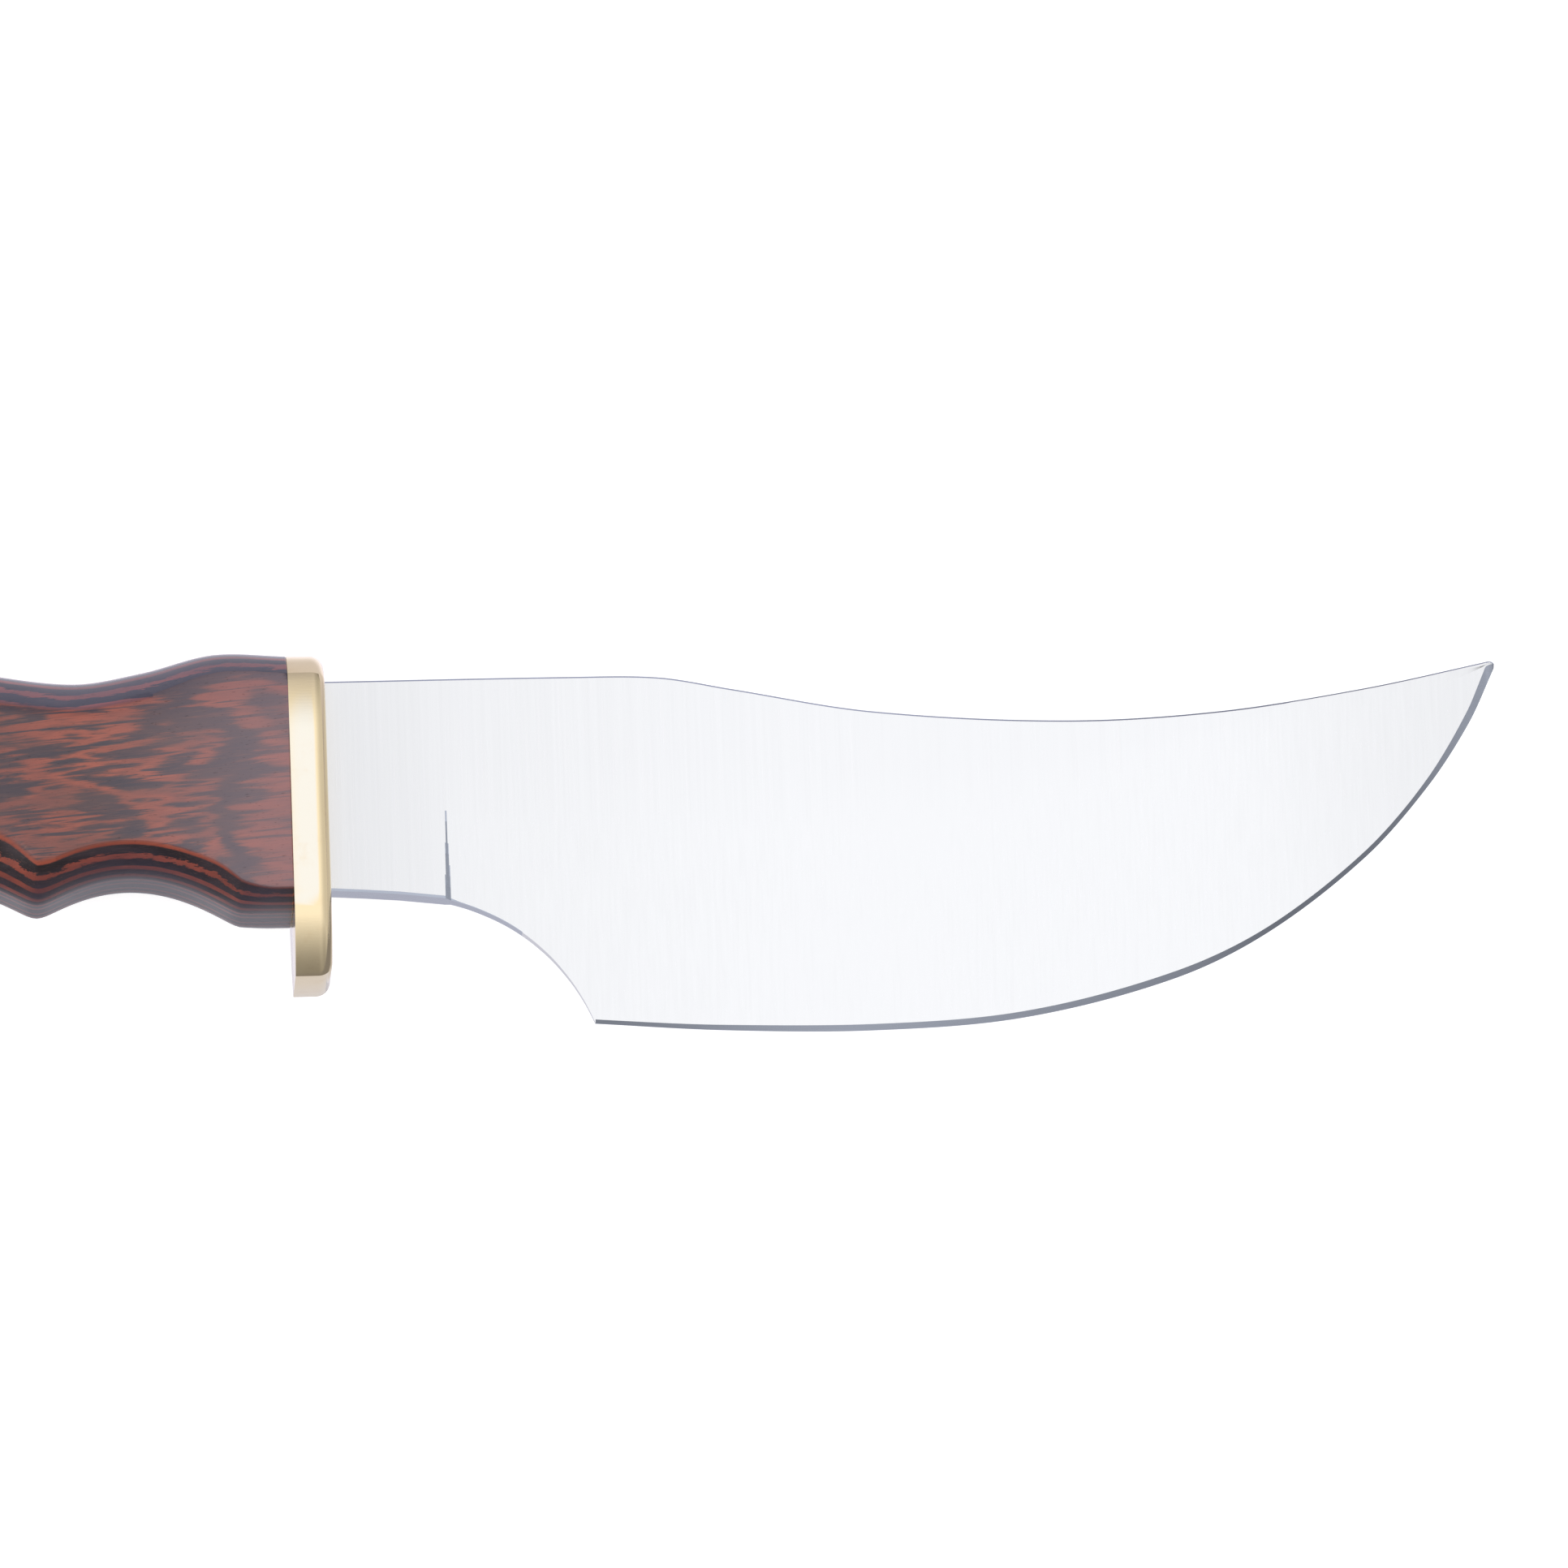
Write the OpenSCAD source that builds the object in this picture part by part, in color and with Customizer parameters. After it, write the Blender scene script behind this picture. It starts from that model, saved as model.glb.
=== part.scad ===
// Fixed-blade skinning knife with a brass guard and a finger-grooved handle of laminated wood.
// The knife lies on its side: +X runs to the tip, +Y to the spine, +Z is the thickness.
// Outlines are worked out from the guard's front face and the middle of the blade's root,
// and the whole knife is then moved so that the origin is under the middle of its box.

/* [Blade] */
// Length from the guard's front face to the tip
blade_length = 133; // [110:1:160]
// Thickness of the steel at the spine
blade_thickness = 3.5; // [2.5:0.1:4.5]
// Where the flat root ends and the grind begins, from the guard
grind_start = 13.1; // [9:0.1:16]
// Width of the sharpened strip along the edge
edge_bevel = 0.9; // [0.5:0.1:1.5]
// Thickness where the grind meets the sharpened strip
edge_thickness = 0.7; // [0.4:0.05:1.0]

/* [Tang] */
// Length of the tang behind the guard's front face
tang_length = 86; // [70:1:92]
// Height of the tang at the guard
tang_height = 10; // [8:0.5:12]
// Height of the tang at its end
tang_end_height = 8; // [7:0.5:9]
// Thickness of the epoxy around the tang's edges
epoxy_gap = 1; // [0.5:0.1:1.5]

/* [Guard] */
// Thickness of the guard along the knife
guard_thickness = 4.2; // [3:0.1:6]
// How far the guard reaches below the blade's centre line
guard_drop = 23; // [20:0.5:26]
// Width of the flat at the guard's lower end
guard_end_width = 11.5; // [8:0.5:14]
// How far the guard's sides lean in where they meet that flat, in degrees
guard_lean = 52; // [45:1:70]

/* [Handle] */
// Length of the wooden handle behind the guard
handle_length = 115; // [108:1:122]
// Width of the handle and the guard, from side to side
handle_width = 21; // [18:0.5:24]
// Number of veneers that are glued into the block
veneer_count = 24; // [16:4:32]
// Width of the middle band that keeps the full outline
crown_width = 6; // [4:1:8]
// Depth that the upper front corner of each side is eased away, beside the guard
eased_depth = 1.1; // [0.4:0.1:1.6]
// Height of that easing
eased_height = 8.2; // [5:0.1:10]
// Number of finger grooves
groove_count = 4; // [3:1:4]
// Depth of a finger groove
groove_depth = 3.3; // [1:0.1:4.5]
// Length of the rounding at the butt
butt_round = 11; // [8:1:14]

/* [Fittings] */
// Radius of a cross pin
pin_radius = 2; // [1.5:0.1:2.2]
// Outer radius of the lanyard tube
tube_radius = 3.2; // [2.8:0.1:3.6]
// Radius of the lanyard tube's bore
tube_bore = 2.4; // [1.8:0.1:2.5]

/* [Hidden] */
veneer_names = [for (i = [1:veneer_count]) str("veneer_", i < 10 ? "0" : "", i)];

$fn = 64;
mid = handle_width / 2;
veneer = handle_width / veneer_count;
tang_veneers = round(blade_thickness / veneer);
slot_width = tang_veneers * veneer;
through = 1;

steel = [0.86, 0.87, 0.89];
brass = [0.86, 0.76, 0.5];
rust_wood = [0.52, 0.27, 0.22];
black_wood = [0.21, 0.19, 0.22];
resin = [0.75, 0.68, 0.5];

// ---- smooth curves through a few points, each with a larger x than the one before ----

function point_slope(p, i) =
    let (a = max(i - 1, 0), b = min(i + 1, len(p) - 1)) (p[b].y - p[a].y) / (p[b].x - p[a].x);
function span_of(p, x, i = 0) = (i >= len(p) - 2 || x <= p[i + 1].x) ? i : span_of(p, x, i + 1);
function curve_y(p, x) =
    let (i = span_of(p, x), w = p[i + 1].x - p[i].x, t = (x - p[i].x) / w)
    p[i].y * (2 * t ^ 3 - 3 * t ^ 2 + 1) + p[i + 1].y * (3 * t ^ 2 - 2 * t ^ 3)
    + w * point_slope(p, i) * (t ^ 3 - 2 * t ^ 2 + t) + w * point_slope(p, i + 1) * (t ^ 3 - t ^ 2);
function stretched(p, k) = [for (q = p) [q.x * k, q.y]];
function clamped(t) = min(max(t, 0), 1);
function ramp(x, a, b) = let (t = clamped((x - a) / (b - a))) t * t * (3 - 2 * t);

// ---- closed solid through rings that all have the same number of points ----

// Each ring runs down one side and back up the other, so its ends are joined in level strips.
module lofted(rings) {
    n = len(rings[0]);
    last = (len(rings) - 1) * n;
    sides = [for (s = [0:len(rings) - 2], j = [0:n - 1])
        let (a = s * n + j, b = s * n + (j + 1) % n)
        each [[a, b + n, b], [a, a + n, b + n]]];
    front = [for (j = [0:n / 2 - 2]) each [[n - 1 - j, j, j + 1], [n - 1 - j, j + 1, n - 2 - j]]];
    back = [for (f = front) [f[2] + last, f[1] + last, f[0] + last]];
    polyhedron(points = [for (r = rings) each r], faces = concat(sides, front, back));
}

// ---- blade ----

heel_x = 29.6;
spine_points = [[0, 11.8], [28, 11.7], [38, 11.4], [46, 9.9], [62, 6.9], [84, 5.3],
    [102, 6], [118, 8.3], [133, 11.4]];
belly_points = [[29.6, -28.1], [44, -29.2], [61, -29.65], [78, -28.6], [95, -24.6],
    [106, -19.5], [117.5, -11], [125, -2.9], [130, 4.4], [133, 10.5]];
choil_points = [[0, -12.4], [7, -12.9], [13.1, -13.6], [17, -14.9], [21, -17.1], [24.5, -20.1],
    [27, -23.2], [28.6, -25.9], [29.6, -28.1]];
grind_points = [[0, -3.2], [45, -4.1], [62, -4.3], [78, -2.6], [92, 0.7], [103, 4], [110.5, 6.9],
    [133, 16]];
blade_scale = blade_length / 133;
spine = stretched(spine_points, blade_scale);
belly = stretched(belly_points, blade_scale);
choil = stretched(choil_points, blade_scale);
grind = stretched(grind_points, blade_scale);
heel = heel_x * blade_scale;
taper_start = 108 * blade_scale;
tip_thinning = 0.72;
plunge = 0.5;
apex = 0.05;
tip_step = 0.2;

function lower_y(x) = x < heel ? curve_y(choil, x) : curve_y(belly, x);
function spine_half(x) =
    blade_thickness / 2 * (1 - tip_thinning * clamped((x - taper_start) / (blade_length - taper_start)));
// Half the thickness of the ground face at height y, which thins evenly from grind line to edge
function ground_half(x, y) =
    let (foot = curve_y(belly, max(x, heel)), top = curve_y(grind, x),
        down = clamped((top - y) / (top - foot)))
    spine_half(x) + (edge_thickness / 2 - spine_half(x)) * down;

function blade_ring(x) =
    let (ground = x > grind_start,
        sharp = x >= heel,
        top = curve_y(spine, x),
        low = lower_y(x),
        tall = top - low,
        shoulder = low + min(edge_bevel, tall * 0.3),
        line = min(curve_y(grind, x), top - min(0.4, tall * 0.2)),
        half = spine_half(x),
        half_low = ground ? ground_half(x, shoulder) : half,
        half_edge = sharp ? apex : ground ? ground_half(x, low) : half,
        side = [[top, half], [line, half], [shoulder, half_low], [low, half_edge]])
    concat([for (k = [0:3]) [x, side[k][0], mid + side[k][1]]],
        [for (k = [3:-1:0]) [x, side[k][0], mid - side[k][1]]]);

root_x = [0, grind_start];
choil_x = [for (i = [0:10]) grind_start + plunge + (heel - 0.6 - grind_start - plunge) * i / 10];
belly_count = 42;
belly_x = [for (i = [0:belly_count])
    heel + (blade_length - heel) * sin(90 * i / belly_count) ^ 1.25];
blade_x = concat(root_x, choil_x, [for (x = belly_x) if (x < blade_length - tip_step) x], [blade_length]);

// The tang's outline ahead of its end, grown by a margin all round except at the start
function tang_half(x) = (tang_height - (tang_end_height - tang_height) * x / tang_length) / 2;
function tang_outline(start, grow) =
    let (end = -tang_length - grow, tall = tang_half(start) + grow, short = tang_half(end) + grow)
    [[start, tall], [end, short], [end, -short], [start, -tall]];

module blade() {
    color(steel) difference() {
        union() {
            lofted([for (x = blade_x) blade_ring(x)]);
            translate([0, 0, mid - blade_thickness / 2])
                linear_extrude(blade_thickness)
                    polygon(tang_outline(grind_start / 2, 0));
        }
        pin_bores();
    }
}

// ---- handle ----

handle_front = -guard_thickness;
handle_end = handle_front - handle_length;
top_points = [[-115, 10.3], [-100, 12.7], [-78, 15.3], [-56, 15.6], [-37, 13.5], [-24.3, 11.7],
    [-16.3, 12.8], [-8.3, 14.7], [0, 14.35]];
groove_front = 5.6;
groove_back = 98.4;
cusp_points = [[-115, -16.8], [-98.4, -17.6], [-75.2, -14.3], [-52, -13.7], [-28.8, -13.65],
    [-5.6, -15.15], [0, -15.25]];
top_edge = [for (q = stretched(top_points, handle_length / 115)) [q.x + handle_front, q.y]];
cusp_line = [for (q = stretched(cusp_points, handle_length / 115)) [q.x + handle_front, q.y]];
butt_middle = -3.2;
butt_setback = 3;
butt_end = 0.99;

function groove(x) =
    let (back = (handle_front - x) * 115 / handle_length,
        u = clamped((back - groove_front) / (groove_back - groove_front)) * groove_count,
        f = u - floor(u))
    4 * groove_depth * f * (1 - f);
function top_y(x) = curve_y(top_edge, x);
function bottom_y(x) = curve_y(cusp_line, x) + groove(x);
// How far the outline falls between the crown and the flat sides
function top_fall(x) =
    let (back = handle_front - x) 3.2 + 1.4 * ramp(back, 4, 24) + 1.2 * ramp(back, 24, 70);
function bottom_fall(x) =
    let (back = handle_front - x) 1.65 + 1.5 * ramp(back, 2, 9) + 1.95 * ramp(back, 25, 32);

// The easing is whole at the guard and dies away behind it
function easing(x) = 1 - ramp(handle_front - x, 8, 24);
// 0 across the crown and 1 at the side's edge
function bulge(z, ease = 0) =
    clamped((abs(z - mid) - crown_width / 2) / (mid - ease - crown_width / 2)) ^ 2;
function eased_fall(x, z) =
    let (ease = eased_depth * easing(x), depth = mid - abs(z - mid))
    ease < 0.01 || depth > ease ? 0 : eased_height * easing(x) * (1 - sqrt(depth / ease));
function butt_share(x) = clamped((handle_end + butt_round - x) / butt_round);
function butt_shrink(x) = sqrt(1 - (butt_end * butt_share(x)) ^ 2);
function butt_shaped(x, y) = butt_middle + (y - butt_middle) * butt_shrink(x);
function section_x(x, z) =
    x + butt_setback * bulge(z) * ramp(-x, -handle_end - 2 * butt_round, -handle_end);
function section_top(x, z) =
    butt_shaped(x, top_y(x) - top_fall(x) * bulge(z, eased_depth * easing(x)) - eased_fall(x, z));
function section_bottom(x, z) = butt_shaped(x, bottom_y(x) + bottom_fall(x) * bulge(z));

steps_per_groove = 10;
groove_steps = groove_count * steps_per_groove;
groove_x = [for (i = [0:groove_steps - 1])
    handle_front - (groove_front + (groove_back - groove_front) * (i + 0.5) / groove_steps)
        * handle_length / 115];
butt_steps = 7;
butt_x = [for (i = [1:butt_steps]) handle_end + butt_round * (1 - sin(90 * i / butt_steps))];
handle_x = concat([handle_front, handle_front - groove_front * 0.8],
    [for (x = groove_x) if (x > handle_end + butt_round) x], [handle_end + butt_round], butt_x);

function veneer_ring(x, low, high) = [
    [section_x(x, high), section_top(x, high), high],
    [section_x(x, high), section_bottom(x, high), high],
    [section_x(x, low), section_bottom(x, low), low],
    [section_x(x, low), section_top(x, low), low]];

pin_x = [handle_front - 48, handle_front - 74];
tube_x = handle_front - 101;
tube_y = -3.5;

module pin_bores() {
    for (x = pin_x) translate([x, 0, -through]) cylinder(h = handle_width + 2 * through, r = pin_radius);
}

// One veneer of the block, which the tang's slot cuts if it lies in the middle
module veneer_sheet(i) {
    low = (i - 1) * veneer;
    slotted = low > mid - slot_width / 2 - veneer / 2 && low < mid + slot_width / 2 - veneer / 2;
    color(i % 2 == 0 ? rust_wood : black_wood) difference() {
        lofted([for (k = [len(handle_x) - 1:-1:0]) veneer_ring(handle_x[k], low, low + veneer)]);
        pin_bores();
        translate([tube_x, tube_y, -through]) cylinder(h = handle_width + 2 * through, r = tube_radius);
        if (slotted)
            translate([0, 0, low - through])
                linear_extrude(veneer + 2 * through)
                    polygon(tang_outline(handle_front + through, epoxy_gap));
    }
}

module tang_epoxy() {
    color(resin)
        translate([0, 0, mid - slot_width / 2])
            linear_extrude(slot_width)
                difference() {
                    polygon(tang_outline(handle_front, epoxy_gap));
                    polygon(tang_outline(handle_front + through, 0));
                }
}

module cross_pins() {
    color(brass) for (x = pin_x) translate([x, 0, 0]) cylinder(h = handle_width, r = pin_radius);
}

module lanyard_tube() {
    color(brass) translate([tube_x, tube_y, 0]) difference() {
        cylinder(h = handle_width, r = tube_radius);
        translate([0, 0, -through]) cylinder(h = handle_width + 2 * through, r = tube_bore);
    }
}

// ---- guard ----

arc_steps = 8;
guard_arc = (mid - guard_end_width / 2) / (1 - cos(guard_lean));
// The guard's front outline: [height, across], with the handle's own section at the top
guard_low = [for (i = [0:arc_steps]) let (a = guard_lean * (1 - i / arc_steps))
    [-guard_drop + guard_arc * (sin(guard_lean) - sin(a)), handle_width - guard_arc * (1 - cos(a))]];
guard_top = [for (i = [0:4 * arc_steps])
    let (t = 1 - i / (2 * arc_steps), z = mid + mid * sign(t) * (1 - (1 - abs(t)) ^ 2))
    [section_top(handle_front, z), z]];
guard_outline = concat(guard_low, guard_top,
    [for (i = [arc_steps:-1:0]) [guard_low[i].x, handle_width - guard_low[i].y]]);

module guard() {
    color(brass) difference() {
        translate([handle_front, 0, 0])
            rotate([90, 0, 90])
                linear_extrude(guard_thickness)
                    polygon(guard_outline);
        translate([handle_front - through, -tang_height / 2, mid - blade_thickness / 2])
            cube([guard_thickness + 2 * through, tang_height, blade_thickness]);
    }
}

// ---- placing ----

knife_low = min([for (x = belly_x) curve_y(belly, x)]);
knife_high = max([for (x = handle_x) section_top(x, mid)]);
knife_back = min([for (x = handle_x) section_x(x, mid)]);
centre = [(blade_length + knife_back) / 2, (knife_low + knife_high) / 2];

module placed() {
    translate([-centre.x, -centre.y, 0]) children();
}

placed() blade();
placed() guard();
placed() tang_epoxy();
placed() cross_pins();
placed() lanyard_tube();
for (i = [1:veneer_count])
    placed() veneer_sheet(i);
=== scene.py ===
"""Skinning knife: a satin steel blade, a polished brass guard and a laminated wood handle."""
import math

import bpy
from mathutils import Matrix, Vector


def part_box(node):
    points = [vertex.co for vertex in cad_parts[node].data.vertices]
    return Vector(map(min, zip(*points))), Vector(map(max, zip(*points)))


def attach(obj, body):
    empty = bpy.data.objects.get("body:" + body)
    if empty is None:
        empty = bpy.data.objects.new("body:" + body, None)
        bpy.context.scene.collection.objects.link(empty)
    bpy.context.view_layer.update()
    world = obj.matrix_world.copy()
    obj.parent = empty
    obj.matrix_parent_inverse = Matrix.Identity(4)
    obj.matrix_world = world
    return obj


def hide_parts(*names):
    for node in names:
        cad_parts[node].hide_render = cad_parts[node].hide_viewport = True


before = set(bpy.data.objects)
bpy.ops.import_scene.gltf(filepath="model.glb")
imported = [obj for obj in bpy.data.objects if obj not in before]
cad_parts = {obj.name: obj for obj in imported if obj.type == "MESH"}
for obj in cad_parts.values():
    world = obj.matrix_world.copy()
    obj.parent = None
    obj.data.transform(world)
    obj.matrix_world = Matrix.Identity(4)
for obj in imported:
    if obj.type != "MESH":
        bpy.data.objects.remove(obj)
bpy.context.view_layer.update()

MM = 0.001

# ---- where the knife lies: x from the guard's front face, y from the blade's centre line, and ----
# ---- z from the side it rests on, all in millimetres ----

GUARD_THICKNESS = 4.2
GUARD_DROP = 23.0
GUARD_LOW, GUARD_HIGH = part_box("guard")
HANDLE_WIDTH = (GUARD_HIGH.z - GUARD_LOW.z) / MM
VENEER = HANDLE_WIDTH / 24
MID = HANDLE_WIDTH / 2
FRONT = -GUARD_THICKNESS
ORIGIN = Vector((GUARD_HIGH.x, GUARD_LOW.y + GUARD_DROP * MM, 0))
HAIR = 0.01  # keeps a test clear of the edge that it tests for
SQUARE_ON = 0.9  # the least share of a face's direction that counts as facing one way


def place(x, y, z):
    """A point in the frame, in metres, from the knife's own measurements in millimetres."""
    return ORIGIN + Vector((x, y, z)) * MM


# ---- smooth curves through a few points, as the solid model draws them ----

def slope(points, i):
    """How steeply a curve passes through one of its points."""
    a, b = points[max(i - 1, 0)], points[min(i + 1, len(points) - 1)]
    return (b[1] - a[1]) / (b[0] - a[0])


def height(points, x):
    """The height of a curve at x."""
    i = 0
    while i < len(points) - 2 and x > points[i + 1][0]:
        i += 1
    (x0, y0), (x1, y1) = points[i], points[i + 1]
    w = x1 - x0
    t = (x - x0) / w
    return (y0 * (2 * t**3 - 3 * t**2 + 1) + y1 * (3 * t**2 - 2 * t**3)
            + w * slope(points, i) * (t**3 - 2 * t**2 + t)
            + w * slope(points, i + 1) * (t**3 - t**2))


def clamped(t):
    """A share, held between 0 and 1."""
    return min(max(t, 0.0), 1.0)


def ramp(x, a, b):
    """0 before a and 1 after b, with a soft change between them."""
    t = clamped((x - a) / (b - a))
    return t * t * (3 - 2 * t)


def changing(start, changes, x):
    """A size that gains each amount softly between two stations."""
    size = start
    for amount, a, b in changes:
        size += amount * ramp(x, a, b)
    return size


# ---- modelling by hand: primitives, edit-mode operators and modifiers ----

def choose(obj):
    """Makes one object the active one, and the only one selected."""
    bpy.ops.object.select_all(action="DESELECT")
    bpy.context.view_layer.objects.active = obj
    obj.select_set(True)


def edit(obj, mode="VERT"):
    """Opens an object for editing, with nothing in it selected."""
    choose(obj)
    bpy.ops.object.mode_set(mode="EDIT")
    bpy.ops.mesh.select_mode(type=mode)
    bpy.ops.mesh.select_all(action="DESELECT")


def done():
    bpy.ops.object.mode_set(mode="OBJECT")


def face_outward():
    """Turns every face of the open object outwards, and closes the object."""
    bpy.ops.mesh.select_all(action="SELECT")
    bpy.ops.mesh.normals_make_consistent(inside=False)
    done()


def pick(obj, test, part="polygons"):
    """Selects the faces or edges that pass a test, in an object that is open for editing."""
    done()
    for item in getattr(obj.data, part):
        item.select = bool(test(item))
    bpy.ops.object.mode_set(mode="EDIT")


def modify(obj, kind, **settings):
    """Adds a modifier and applies it."""
    choose(obj)
    m = obj.modifiers.new(kind.lower(), kind)
    for key, value in settings.items():
        setattr(m, key, value)
    bpy.ops.object.modifier_apply(modifier=m.name)


def break_edges(obj, width, degrees):
    """Rounds every edge that turns by more than an angle."""
    modify(obj, "BEVEL", width=width * MM, segments=3, limit_method="ANGLE",
           angle_limit=math.radians(degrees), use_clamp_overlap=True)


def round_over(obj, test, radius, segments):
    """Rounds the edges whose two ends both pass a test."""
    edit(obj, "EDGE")
    points = obj.data.vertices
    pick(obj, lambda e: all(test(points[i].co) for i in e.vertices), "edges")
    bpy.ops.mesh.bevel(offset=radius * MM, segments=segments, profile=0.5, clamp_overlap=True)
    done()


def smooth(obj, degrees):
    """Shades an object smooth, apart from the edges that turn by more than an angle."""
    choose(obj)
    bpy.ops.object.shade_smooth_by_angle(angle=math.radians(degrees))


SEAM_MERGE = 0.0002


def skin(name, rings):
    """A closed skin: a grid whose columns become rings round the piece, one after another."""
    across, along = len(rings[0]), len(rings)
    bpy.ops.mesh.primitive_grid_add(x_subdivisions=along - 1, y_subdivisions=across, size=1)
    obj = bpy.context.object
    obj.name = obj.data.name = name
    for v in obj.data.vertices:
        i = round((v.co.x + 0.5) * (along - 1))
        j = round((v.co.y + 0.5) * across) % across
        v.co = place(*rings[i][j])
    edit(obj)
    bpy.ops.mesh.select_all(action="SELECT")
    bpy.ops.mesh.remove_doubles(threshold=SEAM_MERGE * MM)
    bpy.ops.mesh.select_all(action="SELECT")
    bpy.ops.mesh.fill_holes(sides=0)
    face_outward()
    return obj


# ---- shader maths ----

class Value:
    """A shader socket that reads as a number in a Python expression."""

    def __init__(self, finish, socket):
        self.finish, self.socket = finish, socket

    def maths(self, operation, a, b=None, c=None):
        return self.finish.node("Math", {"operation": operation}, [a, b, c])

    def __add__(self, other):
        return self.maths("ADD", self, other)

    def __sub__(self, other):
        return self.maths("SUBTRACT", self, other)

    def __rsub__(self, other):
        return self.maths("SUBTRACT", other, self)

    def __mul__(self, other):
        return self.maths("MULTIPLY", self, other)

    def __abs__(self):
        return self.maths("ABSOLUTE", self)

    def most(self, other):
        return self.maths("MAXIMUM", self, other)

    def wave(self):
        return self.maths("SINE", self)

    def swing(self, amount):
        """A noise pattern about zero, this far in all from its lowest to its highest."""
        return (self - 0.5) * amount

    def step(self, a, b):
        """0 below a and 1 above b, with a soft change between them."""
        return self.finish.node(
            "MapRange", {"interpolation_type": "SMOOTHSTEP"}, [self, a, b, 0.0, 1.0])


class Finish:
    """One material, or the world, drawn with nodes."""

    def __init__(self, name, owner=None):
        self.owner = owner or bpy.data.materials.new(name)
        self.owner.use_nodes = True
        self.tree = self.owner.node_tree
        self.tree.nodes.clear()

    def plug(self, socket, value):
        """Links a value to a socket, or writes a constant in it."""
        if isinstance(value, Value):
            self.tree.links.new(value.socket, socket)
        elif isinstance(value, (tuple, list)) and socket.type == "RGBA" and len(value) == 3:
            socket.default_value = (*value, 1.0)
        else:
            socket.default_value = value

    def node(self, kind, settings=None, inputs=(), output=0):
        """A new node with its settings and inputs, which reads as one of its outputs."""
        n = self.tree.nodes.new("ShaderNode" + kind)
        for key, value in (settings or {}).items():
            setattr(n, key, value)
        pairs = inputs.items() if isinstance(inputs, dict) else enumerate(inputs)
        for key, value in pairs:
            if value is not None:
                self.plug(n.inputs[key], value)
        return Value(self, n.outputs[output]) if n.outputs else None

    def where(self, output="Object"):
        """The place of a point, in the object's own space or the world's."""
        return self.node("TexCoord", {}, (), output)

    def axes(self, vector):
        """The x, y and z of a vector."""
        split = self.node("SeparateXYZ", {}, [vector])
        return [Value(self, s) for s in split.socket.node.outputs]

    def facing(self):
        """The x, y and z of the way that the surface faces."""
        return self.axes(self.node("NewGeometry", {}, (), output=1))

    def spread(self, vector, scale, turn=(0, 0, 0), shift=(0, 0, 0)):
        return self.node("Mapping", {}, {"Vector": vector, "Scale": scale, "Rotation": turn,
                                         "Location": shift})

    def noise(self, vector, scale=1.0, detail=3.0, rough=0.5, twist=0.0):
        return self.node("TexNoise", {}, {"Vector": vector, "Scale": scale, "Detail": detail,
                                          "Roughness": rough, "Distortion": twist})

    def mix(self, factor, a, b):
        """Colour a where the factor is 0, and colour b where it is 1."""
        n = self.tree.nodes.new("ShaderNodeMix")
        n.data_type = "RGBA"
        for key, value in ((0, factor), (6, a), (7, b)):
            self.plug(n.inputs[key], value)
        return Value(self, n.outputs[2])

    def colour_ramp(self, share, stops):
        """A colour from a list of stops, each a share and its colour."""
        colour = self.node("ValToRGB", {}, [share])
        elements = colour.socket.node.color_ramp.elements
        for at, tint in stops[1:-1]:
            elements.new(at).color = (*tint, 1.0)
        for element, (at, tint) in ((elements[0], stops[0]), (elements[-1], stops[-1])):
            element.position, element.color = at, (*tint, 1.0)
        return colour

    def bump(self, level, strength, distance):
        return self.node("Bump", {}, {"Height": level, "Strength": strength, "Distance": distance})

    def surface(self, **sockets):
        inputs = {key.replace("_", " "): value for key, value in sockets.items()}
        self.node("OutputMaterial", {}, [self.node("BsdfPrincipled", {}, inputs)])
        return self.owner


# ---- steel ----

STEEL_COLOUR = (0.865, 0.867, 0.873)
# The edge steel is ground across the blade; its darker, bluer colour is painted shade and reflection.
GROUND_EDGE_SHADED_COLOUR = (0.455, 0.487, 0.565)
BRUSH_ACROSS = 9000.0
BRUSH_ALONG = 70.0
DRAG_SCALE = 0.32
BRUSHED_DARK = 0.87
# How dark the painted shade makes the steel towards the tip.
DUSK_DARK = 0.48


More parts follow.
